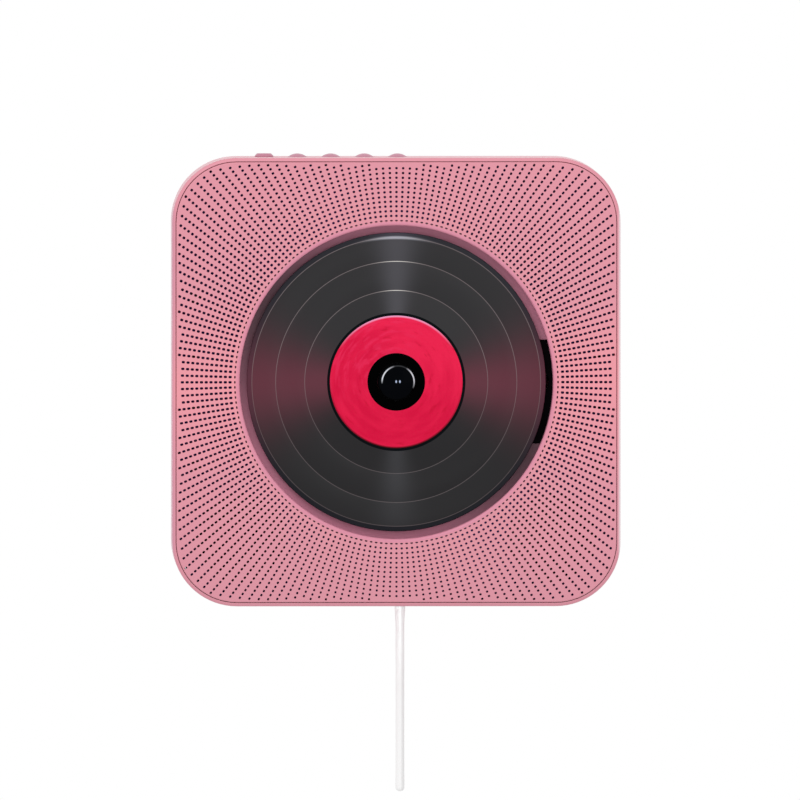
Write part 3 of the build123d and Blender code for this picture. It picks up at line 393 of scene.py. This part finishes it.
def disc_black():
    """Black grooved plastic: the grooves' radial gloss spreads the lamps' light a little, and the streaks,
    side reflections and highlights on it are painted into its colour.
    """
    shader = Shader("disc_black", srgb(40, 39, 41), 0.32, anisotropic=0.75, specular_ior_level=0.2)
    tangent = shader.node("ShaderNodeTangent", direction_type="RADIAL", axis="Y")
    shader.link(tangent.outputs[0], shader.surface.inputs["Tangent"])
    radius, across, up = by_angle(shader)
    painted_streak, painted_side = lobe(shader, up, STREAK_SHARPNESS), lobe(shader, across, SIDE_SHARPNESS)
    # the painted streak's upper half, which also brightens the lines and the rim
    top = shader.times(painted_streak, shader.spread(up, 0, 1, 0, 0.5))
    tracks = lined(shader, track_shades(shader, radius, up, painted_streak, painted_side), radius, up, top)
    outside = shader.spread(radius, 0, 1, RIM_STEP + 0.1, RIM_STEP + 0.4)
    black = shader.mix(outside, tracks, band_shades(shader, up, painted_streak, painted_side))
    # painted highlight on the rim's step, at the top
    painted_rim_highlight = shader.times(near(shader, radius, RIM_STEP, RIM_GLOW), top)
    shader.colour(shader.mix(painted_rim_highlight, black, srgb(172, 174, 184)))
    rings = shader.node("ShaderNodeTexWave", wave_type="RINGS", rings_direction="Y")
    rings.inputs["Scale"].default_value = 300
    shader.link(shader.place, rings.inputs["Vector"])
    shader.bump(rings.outputs["Fac"], 0.0015)
    return shader.material


def label_red():
    """A plain printed label, its red uneven in long strokes along arcs, with painted light towards its
    upper right and on its pale strokes towards the upper left, a painted highlight on its upper edge and
    painted shade on its lower edge.
    """
    shader = Shader("label_red", srgb(220, 14, 65), 0.28, specular_ior_level=0.1)
    radius, across, up = by_angle(shader)
    arcs = shader.node("ShaderNodeCombineXYZ")
    for socket, value, size in zip(arcs.inputs, (radius, across, up), (1, 5, 5)):
        shader.link(shader.times(value, size * MM), socket)
    strokes = arcs.outputs["Vector"]

    # painted light, brighter towards the upper right
    lit = shader.spread(towards(shader, across, up, (0.55, 0.83)), 0.25, 1, 0.1, 1.0)
    smudge = shader.spread(shader.noise(3, 3, strokes), -0.35, 0.35)
    red = shader.mix(shader.plus(lit, smudge, clamp=True), srgb(217, 8, 62), srgb(239, 30, 77))
    deep = shader.spread(shader.noise(1.6, 3, strokes), 0, 0.6, 0.6, 0.72)
    red = shader.mix(deep, red, srgb(200, 2, 48))
    pale = shader.spread(shader.noise(1.3, 2, strokes), 1, 0, 0.38, 0.5)
    # painted light on the pale strokes, towards the upper left
    upper_left_light = shader.spread(towards(shader, across, up, (-0.64, 0.77)), 0, 0.45, 0.2, 0.9)
    red = shader.mix(shader.times(pale, upper_left_light), red, srgb(240, 48, 96))

    # painted shade on the label's lower edge
    low_rim_shade = shader.times(near(shader, radius, LABEL_OUTER, 0.8), shader.spread(up, 1, 0, -0.95, 0.1))
    red = shader.mix(low_rim_shade, red, srgb(88, 0, 14))
    # painted highlight on the label's upper edge
    top_rim_highlight = shader.times(near(shader, radius, LABEL_OUTER, 0.9), shader.spread(up, 0, 0.9, 0.5, 0.98))
    shader.colour(shader.mix(top_rim_highlight, red, srgb(246, 170, 212)))
    shader.roughness(shader.spread(shader.noise(3), 0.22, 0.34))
    shader.bump(shader.noise(0.6, 2), 0.002)
    return shader.material


def crescents(shader):
    """The light's thin crescents left and right of the dome, joined faintly over its top."""
    radius, across, up = by_angle(shader, CRESCENTS_X)
    left = shader.times(shader.spread(across, 1, 0, -0.8, -0.2), shader.spread(up, 0, 1, -0.1, 0.2))
    right = shader.times(shader.spread(across, 0, 1, 0.5, 0.85), shader.spread(up, 0, 1, -0.4, 0.1))
    over = shader.spread(up, 0, 0.04, 0.3, 0.8)
    around = shader.plus(shader.plus(left, right), over, clamp=True)
    return shader.times(near(shader, radius, CRESCENTS_RADIUS, 0.36), around)


def dome_glints(shader, radius, across, up):
    """Two glints on the dome, taller than wide."""
    glints = 0
    for x in GLINTS:
        away = shader.minus(shader.times(radius, across), x)
        high = shader.times(shader.minus(shader.times(radius, up), GLINTS_Z), GLINT_SQUASH)
        glint = shader.spread(shader.squares(away, high), 0, 1, *GLINT_REACH)
        glints = shader.plus(glints, glint, clamp=True)
    return glints


def hub_black():
    """Polished black, with the light's crescents round the dome and glints on its top."""
    shader = moulded("hub_black", srgb(3, 3, 5), 0.12, relief=0.0005, specular_ior_level=0.01)
    radius, across, up = by_angle(shader)
    dome_edge = shader.spread(radius, 0, 1, DOME_RADIUS, DOME_RADIUS + 0.2)
    outwards = shader.spread(radius, 0, 1, LABEL_INNER, LABEL_OUTER)
    dark = shader.mix(dome_edge, srgb(5, 6, 9), BLACK)
    dark = shader.mix(outwards, dark, srgb(12, 16, 19))
    lit = shader.mix(crescents(shader), dark, srgb(228, 232, 240))
    shader.colour(shader.mix(dome_glints(shader, radius, across, up), lit, srgb(190, 205, 235)))
    return shader.material


def cord_white():
    """White rubber, with painted shade making it a little greyer along its right side."""
    white = srgb(253, 253, 253)
    shader = moulded("cord_white", white, 0.35, shade=0.01)
    # painted shade along the cord's right side
    painted_side = fade(shader, shader.axes()[0], 1, (CORD_X + 0.35, CORD_X + 0.75))
    shader.colour(shader.mix(painted_side, white, srgb(240, 240, 240)))
    return shader.material


def board_green():
    """Solder mask over copper tracks."""
    green = srgb(20, 84, 48)
    shader = Shader("board_green", green, 0.35)
    turn = shader.node("ShaderNodeMapping")
    turn.inputs["Rotation"].default_value = (pi / 2, 0, 0)
    shader.link(shader.place, turn.inputs["Vector"])
    tracks = shader.node("ShaderNodeTexBrick")
    for socket, value in (("Scale", 1 / (4 * MM)), ("Color1", green), ("Color2", srgb(26, 96, 55)),
                          ("Mortar", srgb(52, 128, 78)), ("Mortar Size", 0.05)):
        tracks.inputs[socket].default_value = value
    shader.link(turn.outputs["Vector"], tracks.inputs["Vector"])
    shader.colour(tracks.outputs["Color"])
    return shader.material


def lens_glass():
    """Clear glass with a faint blue coating."""
    return Shader("lens_glass", srgb(190, 205, 235), 0.03, transmission_weight=0.9, ior=1.5).material


MOULDED = {
    "button_pink": dict(colour=srgb(202, 136, 157), roughness=0.3),
    "black_plastic": dict(colour=srgb(6, 3, 6), roughness=0.55, specular_ior_level=0.03),
    "baffle_black": dict(colour=srgb(74, 52, 140), roughness=0.55, specular_ior_level=0.1),
    "basket_black": dict(colour=srgb(52, 40, 92), roughness=0.6, specular_ior_level=0.1),
    "bracket_steel": dict(colour=srgb(232, 231, 228), roughness=0.45, grain=0.8, relief=0.01),  # painted
    "rubber": dict(colour=srgb(38, 37, 38), roughness=0.8, relief=0.01),
    "nylon_white": dict(colour=srgb(232, 230, 222), roughness=0.4),
    "grey_plastic": dict(colour=srgb(60, 60, 63), roughness=0.5),
    "chip_black": dict(colour=srgb(24, 24, 26), roughness=0.6),
    "cone_paper": dict(colour=srgb(46, 38, 72), roughness=0.85, grain=0.6, relief=0.03),
    "ferrite": dict(colour=srgb(52, 52, 55), roughness=0.6, relief=0.01),
    "lead_red": dict(colour=srgb(150, 24, 26), roughness=0.5),
}
METALS = {
    "steel": dict(colour=srgb(190, 191, 194)),
    "screw_steel": dict(colour=srgb(200, 200, 205), roughness=0.25, grain=(1, 1, 1)),
    "screw_black": dict(colour=srgb(30, 27, 36), roughness=0.4, grain=(1, 1, 1)),
    "brass": dict(colour=srgb(212, 178, 104), roughness=0.28),
    "can_aluminium": dict(colour=srgb(200, 202, 206)),
    "copper_winding": dict(colour=srgb(190, 108, 62), roughness=0.35, grain=(4, 0.3, 4)),
}
FINISHES = {
    "casing_pink": casing_pink(),
    "grille_pink": grille_pink(),
    "well_pink": well_pink(),
    "disc_black": disc_black(),
    "label_red": label_red(),
    "hub_black": hub_black(),
    "cord_white": cord_white(),
    "board_green": board_green(),
    "lens_glass": lens_glass(),
}
FINISHES.update({name: moulded(name, **look).material for name, look in MOULDED.items()})
FINISHES.update({name: metal(name, **look).material for name, look in METALS.items()})


# --- Mesh building ------------------------------------------------------------------------------
def piece(name, points, faces, finish, body):
    """A mesh from points in millimetres as (x, depth, z), riding on a body."""
    mesh = bpy.data.meshes.new(name)
    mesh.from_pydata([(x * MM, -depth * MM, z * MM) for x, depth, z in points], [], faces)
    mesh.validate()
    made = bpy.data.objects.new(name, mesh)
    bpy.context.scene.collection.objects.link(made)
    mesh.materials.append(FINISHES[finish])
    mesh.shade_smooth()
    mesh.set_sharp_from_angle(angle=radians(32))
    face_outwards(mesh)
    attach(made, body)
    return made


def face_outwards(mesh):
    """Turns every face outwards."""
    shape = bmesh.new()
    shape.from_mesh(mesh)
    bmesh.ops.recalc_face_normals(shape, faces=shape.faces)
    shape.to_mesh(mesh)
    shape.free()


def wall(upper, lower):
    """The faces between two rings of as many points."""
    following = list(range(1, len(upper))) + [0]
    return [[upper[n], upper[m], lower[m], lower[n]] for n, m in enumerate(following)]


def lathe(name, profile, finish, body, segments=192):
    """A closed profile of (radius, depth) points turned about the spindle's axis."""
    turns = [2 * pi * n / segments for n in range(segments)]
    points, rings, faces = [], [], []
    for radius, depth in profile:
        rings.append(range(len(points), len(points) + segments))
        points += [(radius * cos(turn), depth, radius * sin(turn)) for turn in turns]
    for ring, following in zip(rings, rings[1:] + rings[:1]):
        faces += wall(ring, following)
    return piece(name, points, faces, finish, body)


def arc(centre, radius, start, end, steps):
    """Points on an arc, from one angle in degrees to another."""
    turns = [radians(start + (end - start) * n / steps) for n in range(steps + 1)]
    return [(centre[0] + radius * cos(t), centre[1] + radius * sin(t)) for t in turns]


def circle(radius, count):
    """A loop of points round the origin."""
    turns = [2 * pi * n / count for n in range(count)]
    return [(radius * cos(t), radius * sin(t)) for t in turns]


def rounded_square(half, corner):
    """A loop of (x, z) points round a square with round corners."""
    reach = half - corner
    centres = [(reach, reach), (-reach, reach), (-reach, -reach), (reach, -reach)]
    loop = []
    for quarter, centre in enumerate(centres):
        loop += arc(centre, corner, 90 * quarter, 90 * quarter + 90, CORNER_STEPS)
        start = Vector(loop[-1])
        end = Vector(centres[(quarter + 1) % 4]) + (start - Vector(centre))
        loop += [tuple(start.lerp(end, n / SIDE_STEPS)) for n in range(1, SIDE_STEPS)]
    return loop


# --- Grille -------------------------------------------------------------------------------------
def inside(x, z, half, corner):
    """Whether a point is inside a square with round corners."""
    dx, dz = max(abs(x) - (half - corner), 0), max(abs(z) - (half - corner), 0)
    return hypot(dx, dz) <= corner


def hole_size(turn):
    """Half a hole's size outwards and across: the holes vary a little with the angle they lie at."""
    area = HOLE_AREA + HOLE_AREA_SIDE * cos(2 * turn) + HOLE_AREA_UP * sin(turn)
    stretch = HOLE_STRETCH + HOLE_STRETCH_MORE * cos(2 * (turn - radians(HOLE_STRETCH_ANGLE)))
    return sqrt(area * stretch), sqrt(area / stretch)


def hole_loops():
    """The outline of every hole: circles of small rounded slots on evenly spaced rays."""
    half, corner = GRILLE_HALF - HOLES_MARGIN, GRILLE_CORNER - HOLES_MARGIN
    loops = []
    radius = HOLE_FIRST
    while radius < GRILLE_HALF * sqrt(2):
        for n in range(HOLE_RAYS):
            turn = 2 * pi * n / HOLE_RAYS
            if not inside(radius * cos(turn), radius * sin(turn), half, corner):
                continue
            out, across = FIRST_HOLE if radius == HOLE_FIRST else hole_size(turn)
            loop = []
            for u, v in HOLE_SHAPE:
                along, aside = radius + u * out, v * across
                loop.append((along * cos(turn) - aside * sin(turn), along * sin(turn) + aside * cos(turn)))
            loops.append(loop)
        radius += HOLE_PITCH
    return loops


def cut_sheet(loops):
    """A flat sheet inside the first loop, with the other loops cut out of it: its points, its triangles,
    and the points along each loop."""
    flat = [Vector(p) for loop in loops for p in loop]
    edges, rims = [], []
    first = 0
    for loop in loops:
        rims.append(range(first, first + len(loop)))
        edges += [(first + n, first + (n + 1) % len(loop)) for n in range(len(loop))]
        first += len(loop)
    places, _, triangles, sources = delaunay_2d_cdt(flat, edges, [], 0, SAME_POINT)[:4]
    moved = {old: new for new, olds in enumerate(sources) for old in olds}
    rims = [[moved[old] for old in rim] for rim in rims]
    rim_of = {point: number for number, rim in enumerate(rims) for point in rim}

    def is_solid(triangle):
        """A triangle whose corners all lie on one hole's rim fills that hole."""
        around = {rim_of[point] for point in triangle}
        return len(around) > 1 or 0 in around

    return [tuple(p) for p in places], [list(t) for t in triangles if is_solid(t)], rims


def front_grille():
    """The front plate, with every hole cut through it, a rounded edge and a rounded lip."""
    def edge_at(inset):
        return rounded_square(GRILLE_HALF - inset, GRILLE_CORNER - inset)

    def opening_at(inset):
        return circle(WELL_RADIUS + inset, LIP_POINTS)

    places, triangles, rims = cut_sheet([edge_at(GRILLE_EDGE), opening_at(LIP)] + hole_loops())
    count = len(places)
    points = [(x, GRILLE_FRONT, z) for x, z in places] + [(x, GRILLE_BACK, z) for x, z in places]
    faces = triangles + [[count + point for point in reversed(t)] for t in triangles]
    for rim in rims[2:]:
        faces += wall(rim[::-1], [count + point for point in reversed(rim)])

    roundings = ((edge_at, GRILLE_EDGE, GRILLE_EDGE_STEPS), (opening_at, LIP, LIP_STEPS))
    for rim, (outline_at, radius, steps) in zip(rims, roundings):
        upper = rim
        for step in range(1, steps + 1):
            turn = radians(90 * step / steps)
            depth = GRILLE_FRONT - radius * (1 - cos(turn))
            lower = list(range(len(points), len(points) + len(rim)))
            points += [(x, depth, z) for x, z in outline_at(radius * (1 - sin(turn)))]
            faces += wall(upper, lower)
            upper = lower
        back = [count + point for point in rim]
        for index, (x, z) in zip(back, outline_at(0)):
            points[index] = (x, GRILLE_BACK, z)
        faces += wall(upper, back)
    made = piece("grille", points, faces, "grille_pink", "player")
    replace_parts(made, "front_grille")


# --- Disc, label and inlays ---------------------------------------------------------------------
def groove(radius):
    """A shallow V in the disc's front, as profile points that run inwards."""
    half = GROOVE_WIDTH / 2
    return [(radius + half, DISC_FRONT), (radius, DISC_FRONT - GROOVE_DEPTH), (radius - half, DISC_FRONT)]


def disc():
    """The disc: a lower outer band, tracks with lines between them, and a hole with a bevelled edge."""
    band = DISC_FRONT - RIM_DROP
    rim = DISC_RADIUS - DISC_EDGE
    profile = [(DISC_HOLE, DISC_BACK), (rim, DISC_BACK)]
    profile += arc((rim, DISC_BACK + DISC_EDGE), DISC_EDGE, -90, 0, 4)[1:]
    profile += arc((rim, band - DISC_EDGE), DISC_EDGE, 0, 90, 4)
    profile += [(RIM_STEP + 0.25, band), (RIM_STEP + 0.1, band + 0.04)]
    profile += [(RIM_STEP - 0.1, DISC_FRONT - 0.03), (RIM_STEP - 0.25, DISC_FRONT)]
    for line in RING_LINES:
        profile += groove(line)
    profile += [(DISC_HOLE + HOLE_BEVEL, DISC_FRONT), (DISC_HOLE, DISC_FRONT - HOLE_BEVEL)]
    made = lathe("record_disc", profile, "disc_black", "disc", DISC_SEGMENTS)
    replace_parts(made, "disc")


def inlays():
    """The thin black rings on the disc inside and outside its label."""
    top = DISC_FRONT + INLAY
    for name, inner, outer in (("disc_centre", DISC_HOLE + 0.1, LABEL_INNER - INLAY_GAP),
                               ("disc_ring", LABEL_OUTER + INLAY_GAP, SURROUND_RADIUS)):
        profile = [(inner, DISC_FRONT), (outer, DISC_FRONT), (outer, top), (inner, top)]
        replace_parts(lathe(name, profile, "hub_black", "disc"), "disc")


def label():
    """The label, a thin ring with rounded edges."""
    turn_in = DISC_FRONT + LABEL_THICK - LABEL_EDGE
    profile = [(LABEL_INNER, DISC_FRONT), (LABEL_OUTER, DISC_FRONT)]
    profile += arc((LABEL_OUTER - LABEL_EDGE, turn_in), LABEL_EDGE, 0, 90, 4)
    profile += arc((LABEL_INNER + LABEL_EDGE, turn_in), LABEL_EDGE, 90, 180, 4)
    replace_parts(lathe("plain_label", profile, "label_red", "disc"), "disc_label")


# --- Cord ---------------------------------------------------------------------------------------
def cord():
    """The cord hangs straight: a spline along the solid cord's one run."""
    route = [(CORD_X, CORD_TOP), (CORD_X, CORD_TOP - CORD_STRAIGHT), (CORD_X, CORD_LOW)]
    curve = bpy.data.curves.new("switch_cord", "CURVE")
    curve.dimensions = "3D"
    spline = curve.splines.new("NURBS")
    spline.points.add(len(route) - 1)
    for point, (x, z) in zip(spline.points, route):
        point.co = (x * MM, -CORD_DEPTH * MM, z * MM, 1)
    spline.order_u = 3
    spline.use_endpoint_u = True
    spline.resolution_u = 12
    curve.bevel_depth = CORD_RADIUS * MM
    curve.bevel_resolution = 10
    curve.use_fill_caps = True
    curve.materials.append(FINISHES["cord_white"])
    made = bpy.data.objects.new("switch_cord", curve)
    bpy.context.scene.collection.objects.link(made)
    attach(made, "pull_cord")
    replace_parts(made, "pull_cord")
    return made


# --- The solid pieces that keep their shape -----------------------------------------------------
def finish_cad_nodes():
    """Every solid piece gets the finish of its slot in the record; the speakers' steel baskets are
    painted."""
    for row in frame["record"]["subparts"]:
        node = nodes[row["node"]]
        painted = row["node"].endswith("speaker_basket")
        node.data.materials.clear()
        node.data.materials.append(FINISHES["basket_black" if painted else row["material_slot"]])


# --- Stage, light and camera --------------------------------------------------------------------
def stage():
    """A round pale floor under the object."""
    mesh = bpy.data.meshes.new("floor")
    rim = [(x * MM, y * MM, FLOOR_Z * MM) for x, y in circle(FLOOR_RADIUS, 96)]
    mesh.from_pydata(rim, [], [list(range(len(rim)))])
    floor = bpy.data.objects.new("floor", mesh)
    bpy.context.scene.collection.objects.link(floor)
    shader = Shader("floor_pale", srgb(240, 240, 240), 0.8)
    shader.roughness(shader.spread(shader.noise(40), 0.75, 0.85))
    mesh.materials.append(shader.material)


def world():
    """White where the camera and reflections look, and plain soft light on everything else."""
    made = bpy.data.worlds.new("studio")
    made.use_nodes = True
    tree = made.node_tree
    background = tree.nodes["Background"]
    rays = tree.nodes.new("ShaderNodeLightPath")
    seen = rays.outputs["Is Camera Ray"]
    for kind in ("Is Glossy Ray", "Is Transmission Ray"):
        either = tree.nodes.new("ShaderNodeMath")
        either.operation = "MAXIMUM"
        tree.links.new(seen, either.inputs[0])
        tree.links.new(rays.outputs[kind], either.inputs[1])
        seen = either.outputs[0]
    strength = tree.nodes.new("ShaderNodeMapRange")
    strength.inputs["To Min"].default_value = WORLD_STRENGTH
    strength.inputs["To Max"].default_value = 1.0
    tree.links.new(seen, strength.inputs["Value"])
    tree.links.new(strength.outputs["Result"], background.inputs["Strength"])
    background.inputs["Color"].default_value = (1, 1, 1, 1)
    bpy.context.scene.world = made


def aimed(name, data, place, direction):
    """A lamp or camera at a place in metres, facing this way."""
    made = bpy.data.objects.new(name, data)
    made.location = place
    made.rotation_mode = "QUATERNION"
    made.rotation_quaternion = direction.to_track_quat("-Z", "Y")
    bpy.context.scene.collection.objects.link(made)
    return made


def lamp(name, place, power):
    """A large soft lamp that faces the spindle's axis at the wall."""
    light = bpy.data.lights.new(name, "AREA")
    light.shape = "SQUARE"
    light.size = LAMP_SIZE
    light.energy = power
    aimed(name, light, place, -Vector(place))


def cord_light(cord_piece):
    """A narrow light on the cord alone, whose top the casing would leave in its shadow."""
    light = bpy.data.lights.new("cord_light", "SPOT")
    light.energy = CORD_LIGHT_POWER
    light.color = CORD_LIGHT_COLOUR
    light.spot_size = radians(CORD_LIGHT_ANGLE)
    light.spot_blend = 1.0
    light.shadow_soft_size = CORD_LIGHT_SIZE
    aim = Vector((CORD_X, -CORD_DEPTH, CORD_LIT_Z)) * MM
    made = aimed("cord_light", light, CORD_LIGHT_PLACE, aim - Vector(CORD_LIGHT_PLACE))
    lit = bpy.data.collections.new("lit_by_cord_light")
    for lit_object in (cord_piece, nodes["cord_sleeve"], nodes["cord_tip"]):
        lit.objects.link(lit_object)
    made.light_linking.receiver_collection = lit


def camera():
    """The photograph's view, from slightly left of and above the disc's axis."""
    data = bpy.data.cameras.new("photograph")
    data.sensor_width = SENSOR_WIDTH
    data.lens = SENSOR_WIDTH * CAMERA_DISTANCE / (PHOTO_SIZE * MM_PER_PIXEL)
    data.clip_start, data.clip_end = NEAREST_SEEN, FARTHEST_SEEN
    aim = Vector((AIM_X, -DISC_FRONT, AIM_Z)) * MM
    left, up = radians(CAMERA_LEFT), radians(CAMERA_UP)
    back = Vector((-sin(left) * cos(up), -cos(left) * cos(up), sin(up)))
    bpy.context.scene.camera = aimed("photograph", data, aim + back * CAMERA_DISTANCE * MM, -back)


bpy.context.scene.view_settings.view_transform = "Standard"
camera()
world()
stage()
lamp("key", KEY_PLACE, KEY_POWER)
lamp("fill", FILL_PLACE, FILL_POWER)
finish_cad_nodes()
cord_light(cord())
front_grille()
disc()
inlays()
label()
